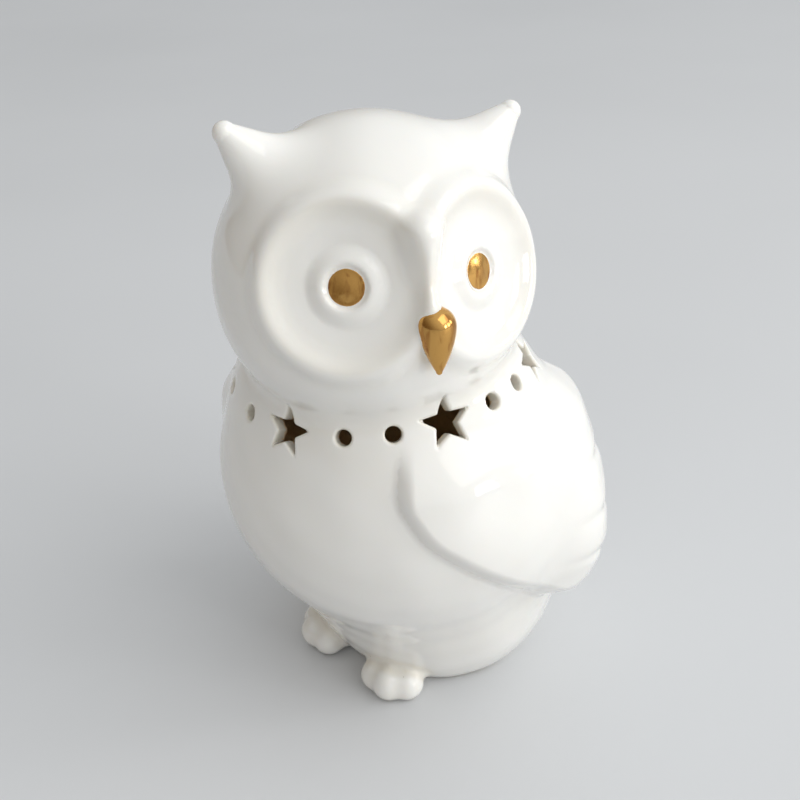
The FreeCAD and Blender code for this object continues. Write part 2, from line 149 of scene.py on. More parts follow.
class OwlForm(PropertyGroup):
    """Sizes of the casting that a maker would change."""

    wall: FloatProperty(name="Wall", description="Thickness of the fired clay",
                        default=0.0036, min=0.002, max=0.008, unit="LENGTH")
    wing_lift: FloatProperty(name="Wing lift", description="How far the wings stand off the body",
                             default=0.0031, min=0.001, max=0.006, unit="LENGTH")
    feather_depth: FloatProperty(name="Feather depth", description="Depth of the feather valleys",
                                 default=0.0010, min=0.0, max=0.002, unit="LENGTH")
    eye_radius: FloatProperty(name="Eye disc", description="Radius of each facial disc",
                              default=0.0176, min=0.012, max=0.022, unit="LENGTH")
    pupil_radius: FloatProperty(name="Pupil", description="Radius of each gilded pupil",
                                default=0.00375, min=0.002, max=0.006, unit="LENGTH")
    hole_radius: FloatProperty(name="Hole", description="Radius of the round piercings",
                               default=0.00178, min=0.001, max=0.004, unit="LENGTH")
    star_radius: FloatProperty(name="Star", description="Radius of the star piercings",
                               default=0.0057, min=0.003, max=0.007, unit="LENGTH")
    waviness: FloatProperty(name="Waviness", description="Soft unevenness of the cast and glaze",
                            default=0.00013, min=0.0, max=0.001, unit="LENGTH")
    cell: FloatProperty(name="Cell", description="Spacing of the samples that the skin is cut from",
                        default=0.00056, min=0.0003, max=0.003, unit="LENGTH")
    triangles: IntProperty(name="Triangles", description="Most triangles in the casting's skin",
                           default=190000, min=20000, max=200000)


class OwlFinish(PropertyGroup):
    """Colours and gloss of the ceramic and the gold."""

    glaze: FloatVectorProperty(name="Glaze", description="Colour of the clear glaze over white clay",
                               subtype="COLOR", size=3, default=(0.885, 0.872, 0.835))
    # Pooled glaze: real glaze pooling in the creases, and also painted shade there and on the piercings'
    # walls.
    glaze_pool_and_shade: FloatVectorProperty(name="Pooled glaze", description="Colour where glaze runs thick",
                                    subtype="COLOR", size=3, default=(0.82, 0.78, 0.69))
    glaze_roughness: FloatProperty(name="Glaze roughness", description="Gloss of the glaze",
                                   default=0.07, min=0.0, max=1.0, subtype="FACTOR")
    # Inside: bare clay, but made warmer and brighter than the same clay on the foot rim. This is painted
    # light standing in for warm light that passes through the thin walls.
    clay: FloatVectorProperty(name="Inside", description="Colour of the unglazed clay inside",
                              subtype="COLOR", size=3, default=(0.95, 0.72, 0.44))
    biscuit: FloatVectorProperty(name="Foot rim", description="Colour of the bare clay underneath",
                                 subtype="COLOR", size=3, default=(0.74, 0.69, 0.60))
    gold: FloatVectorProperty(name="Gold", description="Colour of the fired gold lustre",
                              subtype="COLOR", size=3, default=(0.66, 0.37, 0.11))
    gold_thin: FloatVectorProperty(name="Thin gold", description="Colour where the lustre is thin",
                                   subtype="COLOR", size=3, default=(0.36, 0.15, 0.04))


class LampFinish(PropertyGroup):
    """Colours of the battery lamp's parts."""

    body: FloatVectorProperty(name="Body", description="Moulded plastic of the lamp's body",
                              subtype="COLOR", size=3, default=(0.78, 0.77, 0.73))
    flame: FloatVectorProperty(name="Flame", description="Milky plastic of the flame",
                               subtype="COLOR", size=3, default=(0.86, 0.80, 0.66))
    epoxy: FloatVectorProperty(name="Diode", description="Tinted resin of the diode",
                               subtype="COLOR", size=3, default=(0.86, 0.62, 0.25))
    switch: FloatVectorProperty(name="Switch", description="Black plastic of the switch",
                                subtype="COLOR", size=3, default=(0.025, 0.025, 0.027))
    steel: FloatVectorProperty(name="Steel", description="Plated steel of the small metal parts",
                               subtype="COLOR", size=3, default=(0.62, 0.61, 0.58))
    rubber: FloatVectorProperty(name="Grip ring", description="Silicone of the grip ring",
                                subtype="COLOR", size=3, default=(0.70, 0.70, 0.68))


class StageLook(PropertyGroup):
    """The studio: floor, light and camera."""

    floor: FloatVectorProperty(name="Floor", description="Colour of the paper under the owl",
                               subtype="COLOR", size=3, default=(0.66, 0.67, 0.685))
    window_power: FloatProperty(name="Window", description="Strength of each window pane in watts",
                                default=1.6, min=0.0)
    overhead_power: FloatProperty(name="Overhead", description="Strength of the overhead softbox in watts",
                                  default=4.3, min=0.0)
    sky: FloatProperty(name="Room light", description="Strength of the room's own light",
                       default=0.86, min=0.0)
    dim: FloatVectorProperty(name="Dim side", subtype="COLOR", size=3, default=(0.20, 0.145, 0.085),
                             description="Colour of the room on the side away from the windows")
    lens: FloatProperty(name="Lens", description="Focal length in millimetres",
                        default=49.5, min=20.0, max=200.0)
    distance: FloatProperty(name="Distance", description="Camera to the owl's middle",
                            default=0.280, min=0.1, max=2.0, unit="LENGTH")


# ---- the field: negative inside the clay, in millimetres ---------------------------
def soft_min(a, b, k):
    """The smaller of two distances, with a fillet of about k where they meet."""
    h = np.clip(0.5 + 0.5 * (b - a) / k, 0.0, 1.0)
    return b + (a - b) * h - k * h * (1.0 - h)


def soft_max(a, b, k):
    """The larger of two distances, eased in the same way."""
    return -soft_min(-a, -b, k)


def ease(x):
    x = np.clip(x, 0.0, 1.0)
    return x * x * (3.0 - 2.0 * x)


def egg(p, shape):
    """About how far points are from an ellipsoid given by its centre and half sizes."""
    half = np.array(shape[1], np.float32)
    q = p - np.array(shape[0], np.float32)
    near = np.sqrt(((q / half) ** 2).sum(1))
    slope = np.sqrt(((q / half ** 2) ** 2).sum(1))
    return near * (near - 1.0) / np.maximum(slope, 1e-6)


def bar(p, a, b):
    """How far points are from a round bar between two balls (x, y, z, radius)."""
    start = np.array(a[:3], np.float32)
    run = np.array(b[:3], np.float32) - start
    t = np.clip((p - start) @ run / float(run @ run), 0.0, 1.0)
    gap = np.sqrt(((p - start - t[:, None] * run) ** 2).sum(1))
    return gap - (a[3] + (b[3] - a[3]) * t)


def head_axes():
    """The head's own left, forward and up directions, as columns."""
    turn, tip, lean = (math.radians(v) for v in HEAD_TURN)
    forward = np.array((math.sin(turn) * math.cos(tip), -math.cos(turn) * math.cos(tip), math.sin(tip)))
    left = np.array((math.cos(turn), math.sin(turn), 0.0))
    up = -np.cross(left, forward)
    if up[2] < 0:
        up = -up
    leaned_left = left * math.cos(lean) + up * math.sin(lean)
    leaned_up = up * math.cos(lean) - left * math.sin(lean)
    return np.stack([leaned_left, forward, leaned_up], 1).astype(np.float32)


HEAD_AXES = head_axes()


def smooth_run(points, steps=6):
    """Points along a smooth curve through the given ones."""
    p = np.array(points, float)
    p = np.vstack([2 * p[0] - p[1], p, 2 * p[-1] - p[-2]])
    out = []
    for a, b, c, d in zip(p, p[1:], p[2:], p[3:]):
        for t in np.linspace(0, 1, steps, endpoint=False):
            square = (2 * a - 5 * b + 4 * c - d) * t * t
            out.append(0.5 * (2 * b + (c - a) * t + square + (3 * b - a - 3 * c + d) * t ** 3))
    return out


def wing_inset():
    """A map of how far inside the wing's outline each place on the side lies."""
    edge = np.array([q for run in WING_EDGE for q in smooth_run(run)])
    edge[:, 0] *= WING_MM
    u0, z0, step = WING_MAP
    u, z = np.meshgrid(np.arange(u0, 125, step), np.arange(z0, 100, step), indexing="ij")
    nearest = np.full(u.shape, 1e9)
    inside = np.zeros(u.shape, bool)
    for (ax, az), (bx, bz) in zip(edge, np.roll(edge, -1, 0)):
        ex, ez = bx - ax, bz - az
        length = ex * ex + ez * ez
        if length < 1e-9:
            continue
        t = np.clip(((u - ax) * ex + (z - az) * ez) / length, 0, 1)
        nearest = np.minimum(nearest, np.hypot(u - ax - t * ex, z - az - t * ez))
        if bz != az:
            inside ^= ((az > z) != (bz > z)) & (u < ex * (z - az) / ez + ax)
    return np.where(inside, nearest, -nearest).astype(np.float32)


WING_INSET = wing_inset()


def read_inset(u, z):
    """How far inside the wing's outline places lie, read between the map's steps."""
    u0, z0, step = WING_MAP
    i = np.clip((u - u0) / step, 0, WING_INSET.shape[0] - 1.001)
    j = np.clip((z - z0) / step, 0, WING_INSET.shape[1] - 1.001)
    i0, j0 = i.astype(np.int32), j.astype(np.int32)
    a, b = i - i0, j - j0
    low = WING_INSET[i0, j0] * (1 - a) + WING_INSET[i0 + 1, j0] * a
    high = WING_INSET[i0, j0 + 1] * (1 - a) + WING_INSET[i0 + 1, j0 + 1] * a
    return low * (1 - b) + high * b


class Clay:
    """The casting as one field, built from the sizes in the sidebar."""

    def __init__(self, form):
        self.wall = form.wall / MM
        self.lift = form.wing_lift / MM
        self.feather = form.feather_depth / MM
        self.eye = form.eye_radius / MM
        self.pupil = form.pupil_radius / MM
        self.hole = form.hole_radius / MM
        self.star = form.star_radius / MM
        self.wave = form.waviness / MM

    def core(self, p):
        """The bare body: belly, back, seat and collar run together."""
        d = soft_min(egg(p, BELLY), egg(p, BACK), BACK_BLEND)
        d = soft_min(d, egg(p, SEAT), BODY_BLEND)
        return soft_min(d, egg(p, COLLAR), BODY_BLEND)

    def wing(self, p):
        """How far the wing stands off the body at each point's bearing and height."""
        turn = np.degrees(np.arctan2(np.abs(p[:, 0]), -p[:, 1]))
        u = turn * WING_MM
        z = p[:, 2]
        inset = read_inset(u, z)
        crisp = 1 - (1 - np.clip(inset / EDGE_CRISP[1], 0, 1)) ** EDGE_CRISP[2]
        rise = EDGE_CRISP[0] * crisp + EDGE_SOFT[0] * ease((inset + EDGE_SOFT[1]) / EDGE_SOFT[2])
        soft = ease((inset + RIGHT_EDGE[0]) / (RIGHT_EDGE[1] + RIGHT_EDGE[0]))
        start, width, end = FRONT_TURN
        front = (p[:, 0] < 0) & (turn < end)
        rise = np.where(front, soft + (rise - soft) * ease((turn - start) / width), rise)
        upper = UPPER_FOLD[0] * ease((UPPER_FOLD[1] - z) / UPPER_FOLD[2])
        lower = LOWER_FOLD[0] * ease((LOWER_FOLD[1] - z) / LOWER_FOLD[2])
        fold = ease((turn - FOLD_TURN[0]) / FOLD_TURN[1]) * (upper + lower)
        fold = fold * (FOLD_FOOT[0] + FOLD_FOOT[1] * ease((z - FOLD_FOOT[2]) / FOLD_FOOT[3]))
        lift = (self.lift * ease((WING_TOP[0] - z) / WING_TOP[1]) + fold) * rise
        deep, bearing, height, wide, tall = DIMPLE
        bowl = np.exp(-((u - bearing * WING_MM) / wide) ** 2 - ((z - height) / tall) ** 2)
        lift = lift - deep * bowl * (inset > 0)
        for a0, z0, a1, z1 in WING_VALLEYS:
            ax, bx = a0 * WING_MM, a1 * WING_MM
            ex, ez = bx - ax, z1 - z0
            t = np.clip(((u - ax) * ex + (z - z0) * ez) / (ex * ex + ez * ez), 0, 1)
            off = np.hypot(u - ax - t * ex, z - z0 - t * ez)
            groove = self.feather * (1 - t) ** VALLEY[0] * np.exp(-(off / VALLEY[1]) ** 2)
            lift = lift - groove * (inset > 0)
        return lift

    def feet(self, p):
        """Two feet of three round toes; the middle toe is the longest."""
        m = p.copy()
        m[:, 0] = np.abs(m[:, 0])
        spread, size, length = TOE
        whole = None
        for k in (-1, 0, 1):
            bearing = math.radians(FOOT[2] + k * spread)
            sx, sy = math.sin(bearing), -math.cos(bearing)
            ball = size - 0.2 * k * k + 0.07 * k
            reach = length - 0.8 * k * k
            heel = (FOOT[0] - k * sy, FOOT[1] - k * sx, ball + 0.8 - 0.4 * k, ball)
            tip = (FOOT[0] + reach * sx, FOOT[1] + reach * sy, ball * 0.88, ball * 0.9)
            toe = bar(m, heel, tip)
            whole = toe if whole is None else soft_min(whole, toe, TOE_BLEND)
        return whole

    def eye_places(self, q):
        """For each eye, how far points lie along its axis and away from it."""
        places = []
        for side in (-1, 1):
            turn, lift = math.radians(EYE_TURN) * side, math.radians(EYE_LIFT)
            axis = np.array((math.sin(turn) * math.cos(lift), math.cos(turn) * math.cos(lift),
                             math.sin(lift)), np.float32)
            along = q @ axis
            away = np.sqrt(np.maximum((q ** 2).sum(1) - along * along, 0))
            places.append((along, away))
        return places

    def to_head(self, p):
        return (p - np.array(HEAD, np.float32)) @ HEAD_AXES

    def head(self, p):
        """The turned head with its ears, facial discs, brow, bridge and beak."""
        q = self.to_head(p)
        m = q.copy()
        m[:, 0] = np.abs(m[:, 0])
        d = np.sqrt((q ** 2).sum(1)) - HEAD_R
        d = soft_min(d, bar(m, EAR_ROOT, EAR_TIP), EAR_BLEND)
        places = self.eye_places(q)
        for along, away in places:
            rim = np.hypot(away - self.eye + RIM[2], along - RIM[0]) - RIM[1]
            d = soft_min(d, rim, RIM[3])
        d = soft_min(d, bar(q, *BROW), FACE_BLEND)
        for along, away in places:
            spread = np.clip(away / self.eye, 0, 1.3)
            floor = EYE_DEPTH + DISH[0] * spread ** DISH[1]
            bowl = soft_max(away - self.eye + DISH[2], floor - along, DISH[3])
            d = soft_max(d, -bowl, DISH[4])
        d = soft_min(d, bar(q, *BRIDGE), FACE_BLEND)
        for along, away in places:
            boss = BOSS[0] * ease((BOSS[1] - away) / BOSS[2])
            boss = boss - SOCKET[0] * ease((SOCKET[1] - away) / SOCKET[2])
            d = d - np.where(along > 20, boss, 0)
        for along, away in places:
            dome = np.sqrt(away ** 2 + (along - (EYE_DEPTH - PUPIL_BALL[1])) ** 2) - PUPIL_BALL[0]
            d = soft_min(d, soft_max(dome, away - self.pupil, 0.5), 0.35)
        return soft_min(d, self.beak(q), BEAK_BLEND)

    def beak(self, q):
        """A drop: round on top, bulging forward, drawn down to a point."""
        top, tip = np.array(BEAK_TOP[:3], np.float32), np.array(BEAK_TIP[:3], np.float32)
        t = np.clip((q - top) @ (tip - top) / ((tip - top) ** 2).sum(), 0, 1)
        thick = BEAK_TOP[3] + (BEAK_TIP[3] - BEAK_TOP[3]) * t ** BEAK_TAPER
        return np.sqrt(((q - top - t[:, None] * (tip - top)) ** 2).sum(1)) - thick

    def outside(self, p):
        """The owl's outer skin, without piercings."""
        d = self.core(p) - self.wing(p)
        d = soft_min(d, bar(p, *TAIL), TAIL_BLEND)
        d = soft_min(d, self.head(p), HEAD_BLEND)
        d = soft_min(d, self.feet(p), FOOT_BLEND)
        x, y, z = p[:, 0], p[:, 1], p[:, 2]
        swell = np.sin(x / 5.3 + 1.2) * np.sin(y / 4.7 + 0.4) * np.sin(z / 5.9 + 2.1)
        swell = swell + 0.6 * np.sin(x / 2.9 + z / 3.7) * np.sin(y / 3.1 - z / 4.3)
        return d + self.wave * swell

    def hollow(self, p):
        """The space inside the casting, a wall's thickness behind the skin."""
        body = self.core(p) + self.wall
        body = soft_max(body, FLOOR - p[:, 2], 2.0)
        q = self.to_head(p)
        crown = np.sqrt((q ** 2).sum(1)) - HEAD_R + self.wall
        for along, away in self.eye_places(q):
            behind = soft_max(away - self.eye - 2.6, EYE_DEPTH - self.wall - along, 2.0)
            crown = soft_max(crown, -behind, 2.0)
        return soft_min(body, crown, 4.0)

    def piercings(self, p):
        """Stars and holes round the collar, square to the sloping skin; negative inside a cut."""
        out = np.full(len(p), FAR, np.float32)
        lift = math.radians(RING_LIFT)
        for number, bearing in enumerate(RING_STARS + RING_HOLES):
            turn = math.radians(bearing)
            ahead = np.array((math.sin(turn), -math.cos(turn), 0.0))
            across = np.array((math.cos(turn), math.sin(turn), 0.0))
            height = RING_HEIGHT + RING_SLOPE[0] * math.sin(turn - math.radians(RING_SLOPE[1]))
            axis = ahead * math.cos(lift) + np.array((0, 0, math.sin(lift)))
            above = np.array((0, 0, math.cos(lift))) - ahead * math.sin(lift)
            local = p - (ahead * RING_SKIN + np.array((0, 0, height))).astype(np.float32)
            near = np.nonzero(np.abs(local).max(1) < FAR + 3)[0]
            if not len(near):
                continue
            local = local[near]
            along, side, up = local @ axis, local @ across, local @ above
            if number < len(RING_STARS):
                cut = self.star_cut(side, up, 5.0 * math.sin(2.3 * number + 4.2))
            else:
                cut = np.hypot(side, up) - self.hole
            cut = np.maximum(cut, np.maximum(along - CUT_REACH[0], -along - CUT_REACH[1]))
            out[near] = np.minimum(out[near], cut)
        return out

    def star_cut(self, across, up, lean):
        """A five-pointed star, each one cut by hand and so turned a little."""
        lean = math.radians(lean)
        a = across * math.cos(lean) + up * math.sin(lean)
        b = up * math.cos(lean) - across * math.sin(lean)
        fifth = 2 * math.pi / 5
        angle = np.arctan2(a, b)
        angle = np.abs(angle - fifth * np.round(angle / fifth))
        radius = np.hypot(a, b)
        x, y = radius * np.cos(angle), radius * np.sin(angle)
        inner = self.star * STAR_WAIST
        ix, iy = inner * math.cos(math.pi / 5), inner * math.sin(math.pi / 5)
        dx, dy = ix - self.star, iy
        length = math.hypot(dx, dy)
        t = np.clip(((x - self.star) * dx + y * dy) / length ** 2, 0, 1)
        gap = np.hypot(x - self.star - t * dx, y - t * dy)
        side = (x - self.star) * dy - y * dx
        return np.where(side > 0, gap, -gap)

    def solid(self, points):
        """The whole casting in the frame's own place, hollowed, pierced and open underneath."""
        p = points - NECK
        d = soft_max(self.outside(p), -self.hollow(p), 0.5)
        d = soft_max(d, -self.piercings(p), CUT_EDGE)
        from_lamp = np.hypot(points[:, 0] - LAMP[0], points[:, 1] - LAMP[1])
        d = soft_max(d, np.minimum(BORE - from_lamp, FLOOR + 6.0 - points[:, 2]), 0.4)
        d = soft_max(d, np.minimum(RECESS[0] - from_lamp, RECESS[1] - points[:, 2]), 0.3)
        return soft_max(d, -points[:, 2], 0.7)

    def skin(self, points):
        return self.outside(points - NECK)


# ---- meshes from fields ----------------------------------------------------------
def in_chunks(field, points, size=150000):
    return np.concatenate([field(points[i:i + size]) for i in range(0, len(points), size)])


def slope(field, points, step=0.06):
    """The field's direction of increase at each point, not normalised."""
    parts = []
    for axis in range(3):
        shift = np.zeros(3, np.float32)
        shift[axis] = step
        parts.append((in_chunks(field, points + shift) - in_chunks(field, points - shift)) / (2 * step))
    return np.stack(parts, 1)


def settle(field, points, rounds=2, reach=0.5):
    """Moves points onto the field's zero, a short way at most, and returns their normals too."""
    for _ in range(rounds):
        grad = slope(field, points)
        size = (grad ** 2).sum(1)
        move = in_chunks(field, points) / np.maximum(size, 0.05)
        move = np.clip(move, -reach, reach)
        points = points - move[:, None] * grad
    grad = slope(field, points)
    return points, grad / np.maximum(np.linalg.norm(grad, axis=1, keepdims=True), 1e-6)


def sample(field, low, high, cell, block=4):
    """Fine samples near the field's zero and coarse ones elsewhere, as a dense array."""
    count = np.ceil((high - low) / (cell * block)).astype(int)
    index = np.stack(np.meshgrid(*[np.arange(n) for n in count], indexing="ij"), -1).reshape(-1, 3)
    middle = (low + (index + 0.5) * cell * block - cell * 0.5).astype(np.float32)
    rough = in_chunks(field, middle)
    fine = np.repeat(rough.reshape(count), block, 0)
    fine = np.repeat(np.repeat(fine, block, 1), block, 2).astype(np.float32)
    close = index[np.abs(rough) < cell * block * 1.35]
    inner = np.stack(np.meshgrid(*[np.arange(block)] * 3, indexing="ij"), -1).reshape(-1, 3)
    spots = (close[:, None, :] * block + inner[None]).reshape(-1, 3)
    values = in_chunks(field, (low + spots * cell).astype(np.float32))
    fine[spots[:, 0], spots[:, 1], spots[:, 2]] = values
    return np.clip(fine, -cell * block, cell * block)


def field_mesh(name, field, low, high, cell, triangles):
    """One closed mesh object at the field's zero, in metres, with the field's own normals."""
    values = sample(field, low, high, cell)
    grid = openvdb.FloatGrid(background=float(values.max()))
    grid.copyFromArray(values.astype(np.float32))
    points, faces, quads = grid.convertToPolygons(isovalue=0.0, adaptivity=0.0)
    if not len(points):
        raise RuntimeError("no skin was found for " + name)
    points = points * cell + low
    mesh = bpy.data.meshes.new(name)
    rings = [tuple(f) for f in quads.tolist()] + [tuple(f) for f in faces.tolist()]
    mesh.from_pydata(points.tolist(), [], rings)
    item = bpy.data.objects.new(name, mesh)
    bpy.context.scene.collection.objects.link(item)
    drop_loose_shells(item)
    total = sum(len(f.vertices) - 2 for f in mesh.polygons)
    if total > triangles:
        modifier = item.modifiers.new("Thin out", "DECIMATE")
        modifier.ratio = triangles / total
        baked = bpy.data.meshes.new_from_object(item.evaluated_get(bpy.context.evaluated_depsgraph_get()))
        item.modifiers.clear()
        item.data = baked
        baked.name = name
    finish_skin(item.data, field)
    return item


def drop_loose_shells(item):
    """Keeps only the biggest connected shell of a mesh."""
    mesh = item.data
    form = bmesh.new()
    form.from_mesh(mesh)
    form.faces.ensure_lookup_table()
    seen, groups = set(), []
    for face in form.faces:
        if face.index in seen:
            continue
        stack, group = [face], []
        seen.add(face.index)
        while stack:
            f = stack.pop()
            group.append(f)
            for edge in f.edges:
                for other in edge.link_faces:
                    if other.index not in seen:
                        seen.add(other.index)
                        stack.append(other)
        groups.append(group)
    groups.sort(key=len)
    loose = [f for group in groups[:-1] for f in group]
    if loose:
        bmesh.ops.delete(form, geom=loose, context="FACES")
        form.to_mesh(mesh)
    form.free()


def read_points(mesh):
    flat = np.empty(len(mesh.vertices) * 3, np.float32)
    mesh.vertices.foreach_get("co", flat)
    return flat.reshape(-1, 3)


def finish_skin(mesh, field):
    points, normals = settle(field, read_points(mesh))
    mesh.vertices.foreach_set("co", (points * MM).astype(np.float32).ravel())
    mesh.update()
    mesh.shade_smooth()
    mesh.normals_split_custom_set_from_vertices(normals.tolist())


def add_attribute(mesh, name, values):
    layer = mesh.attributes.new(name, "FLOAT", "POINT")
    layer.data.foreach_set("value", values.astype(np.float32))


# ---- material helpers --------------------------------------------------------------
class Finish:
    """A node material under construction, with short names for the nodes it needs."""

    def __init__(self, name, roughness=0.4, metallic=0.0, ior=1.5):
        self.material = bpy.data.materials.new(name)
        self.material.use_nodes = True
        self.tree = self.material.node_tree
        self.shader = self.tree.nodes["Principled BSDF"]
        self.shader.inputs["Roughness"].default_value = roughness
        self.shader.inputs["Metallic"].default_value = metallic
        self.shader.inputs["IOR"].default_value = ior
        self.place = self.tree.nodes.new("ShaderNodeTexCoord").outputs["Object"]

    def node(self, kind, settings=(), **inputs):
        made = self.tree.nodes.new(kind)
        for key, value in dict(settings).items():
            setattr(made, key, value)
        for key, value in inputs.items():
            self.feed(made.inputs[key.replace("_", " ")], value)
        return made

    def feed(self, socket, value):
        if hasattr(value, "links"):
            self.tree.links.new(value, socket)
        elif isinstance(value, bpy.types.Node):
            self.tree.links.new(value.outputs[0], socket)
        else:
            socket.default_value = value

    def noise(self, scale, detail=3.0, distortion=0.0, place=None):
        made = self.node("ShaderNodeTexNoise", Scale=scale, Detail=detail, Distortion=distortion)
        self.feed(made.inputs["Vector"], place or self.place)
        return made.outputs["Fac"]

    def cells(self, scale):
        made = self.node("ShaderNodeTexVoronoi", Scale=scale)
        self.feed(made.inputs["Vector"], self.place)
        return made.outputs["Distance"]

    def span(self, value, low, high, start=0.0, end=1.0):
        made = self.node("ShaderNodeMapRange")
        for key, number in (("Value", value), ("From Min", low), ("From Max", high),
                            ("To Min", start), ("To Max", end)):
            self.feed(made.inputs[key], number)
        return made.outputs["Result"]

    def stretched(self, scale):
        made = self.node("ShaderNodeMapping", Scale=scale)
        self.feed(made.inputs["Vector"], self.place)
        return made.outputs["Vector"]

    def blend(self, amount, a, b):
        made = self.node("ShaderNodeMix", {"data_type": "RGBA"})
        self.feed(made.inputs[0], amount)
        self.feed(made.inputs[6], a)
        self.feed(made.inputs[7], b)
        return made.outputs[2]

    def math(self, operation, a, b):
        made = self.node("ShaderNodeMath", {"operation": operation})
        self.feed(made.inputs[0], a)
        self.feed(made.inputs[1], b)
        return made.outputs[0]

    def value_of(self, name):
        return self.node("ShaderNodeAttribute", {"attribute_name": name}).outputs["Fac"]

    def colour(self, value):
        self.feed(self.shader.inputs["Base Color"], value)

    def roughness(self, value):
        self.feed(self.shader.inputs["Roughness"], value)

    def bumps(self, *layers):
        """Adds bump layers, each a height, a strength and a depth in metres."""
        normal = None
        for height, strength, depth in layers:
            made = self.node("ShaderNodeBump", Strength=strength, Distance=depth, Height=height)
            if normal:
                self.feed(made.inputs["Normal"], normal)
            normal = made.outputs["Normal"]
        self.feed(self.shader.inputs["Normal"], normal)


def rgba(colour, scale=1.0):
    return (colour[0] * scale, colour[1] * scale, colour[2] * scale, 1.0)


def glaze_finish(look):
    """Clear glaze on white clay: thicker, creamier and darker in the hollows and on the piercings' walls,
    which is partly pooled glaze and partly painted shade, with rare pinholes.
    """
    f = Finish("owl_glaze", look.glaze_roughness, ior=1.52)
    drift = f.noise(38, 4.0)
    cloud = f.blend(f.span(drift, 0.35, 0.65, 0.0, 0.55), rgba(look.glaze), rgba(look.glaze, 0.965))
    # Darker, creamier colour in the creases and the cut walls: pooled glaze plus painted shade.
    pooled_and_shaded = f.blend(f.value_of("hollow"), cloud, rgba(look.glaze_pool_and_shade))
    speck = f.span(f.cells(260), 0.035, 0.055, 1.0, 0.0)
    rare = f.span(f.noise(21, 1.0), 0.60, 0.66)
    pin = f.math("MULTIPLY", speck, rare)
    f.colour(f.blend(f.math("MULTIPLY", pin, 0.6), pooled_and_shaded, rgba(look.glaze_pool_and_shade, 0.55)))
    f.roughness(f.span(f.noise(90, 2.0), 0.3, 0.7, look.glaze_roughness * 0.7, look.glaze_roughness * 1.5))
    f.shader.inputs["Subsurface Weight"].default_value = 0.12
    f.shader.inputs["Subsurface Radius"].default_value = (1.0, 0.75, 0.5)
    f.shader.inputs["Subsurface Scale"].default_value = 0.002
    f.shader.inputs["Coat Weight"].default_value = 0.35
    f.shader.inputs["Coat Roughness"].default_value = 0.03
    f.bumps((f.noise(420, 2.0), 0.10, 0.0002), (f.noise(95, 1.5), 0.16, 0.0006),
            (f.math("MULTIPLY", pin, -1.0), 0.5, 0.0001))
    return f.material


def clay_finish(name, colour, grain):
    """Bare fired clay: matt, with grog, sponge marks and darker patches."""
    f = Finish(name, 0.86)
    patch = f.blend(f.span(f.noise(55, 5.0), 0.35, 0.65), rgba(colour, 0.80), rgba(colour, 1.12))
    grit = f.span(f.cells(900), 0.10, 0.22, 1.0, 0.0)
    f.colour(f.blend(f.math("MULTIPLY", grit, 0.35), patch, rgba(colour, 0.55)))
    f.roughness(f.span(f.noise(300, 2.0), 0.3, 0.7, 0.78, 0.95))
    f.bumps((f.noise(1400, 3.0), grain, 0.0002), (f.cells(500), grain * 0.6, 0.0003))
    return f.material


def gold_finish(look):
    """Brushed-on gold lustre: mirror bright, thinner and coppery between the strokes."""
    f = Finish("gold_lustre", 0.15, metallic=1.0)
    stroke = f.noise(520, 3.0, 0.6, f.stretched((1.0, 1.0, 0.28)))
    thin = f.span(stroke, 0.52, 0.72)
    f.colour(f.blend(thin, rgba(look.gold), rgba(look.gold_thin)))
    f.roughness(f.span(f.noise(900, 2.0), 0.3, 0.7, 0.09, 0.24))
    f.bumps((stroke, 0.16, 0.0002), (f.noise(160, 1.0), 0.20, 0.0007))
    return f.material


# ---- the ceramic owl ---------------------------------------------------------------
class OWL_OT_ceramic(Operator):
    """Casts and glazes the hollow owl, with its wings, feet, face and piercings"""

    bl_idname = "owl.ceramic"
    bl_label = "Ceramic owl"

    margin = 3.0
    feel = 2.2

    def execute(self, context):
        form = context.scene.owl_form
        clay = Clay(form)
        low = np.array([v / MM for v in CAD_BOX[0]]) - self.margin
        high = np.array([v / MM for v in CAD_BOX[1]]) + self.margin
        item = field_mesh("owl_ceramic", clay.solid, low, high, form.cell / MM, form.triangles)
        self.dress(item, clay, context.scene.owl_finish)
        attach(item, "owl")
        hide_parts("body_casting", "head_casting")
        return {"FINISHED"}

    def dress(self, item, clay, look):
        """Glaze outside and in the cuts, bare clay inside and underneath."""
        mesh = item.data
        points = read_points(mesh) / MM
        normals = np.empty(len(mesh.vertices) * 3, np.float32)
        mesh.vertices.foreach_get("normal", normals)
        reach = self.feel
        # Crease mask: how far the skin closes in ahead of each point. It darkens the glaze as pooled glaze
        # and as painted shade.
        ahead = in_chunks(clay.skin, points + normals.reshape(-1, 3) * reach)
        here = in_chunks(clay.skin, points)
        hollow = np.clip(1.0 - (ahead - here) / reach, 0.0, 0.6) / 0.6
        depth = -here
        # Cut walls and inner faces get a flat 0.8 of the darker colour: painted shade inside the piercings,
        # as well as pooled glaze.
        add_attribute(mesh, "hollow", np.where(depth < 0.5, hollow, 0.8))
        # The inside clay's warm orange is partly the clay and partly painted light glowing through the
        # walls.
        for material in (glaze_finish(look), clay_finish("inside_clay_and_glow", look.clay, 0.35),
                         clay_finish("foot_clay", look.biscuit, 0.25)):
            mesh.materials.append(material)
        corners = np.empty(len(mesh.loops), np.int32)
        mesh.loops.foreach_get("vertex_index", corners)
        starts = np.empty(len(mesh.polygons), np.int32)
        mesh.polygons.foreach_get("loop_start", starts)
        first = corners[starts]
        deep = in_chunks(lambda p: clay.hollow(p - NECK), points)
        inside = deep[first] < 0.9
        under = points[first, 2] < 0.5
        from_lamp = np.hypot(points[first, 0] - LAMP[0], points[first, 1] - LAMP[1])
        bore = (from_lamp < RECESS[0] + 0.4) & (points[first, 2] < FLOOR + 2)
        index = np.where(under | bore, 2, np.where(inside, 1, 0)).astype(np.int32)
        mesh.polygons.foreach_set("material_index", index)
        mesh.update()


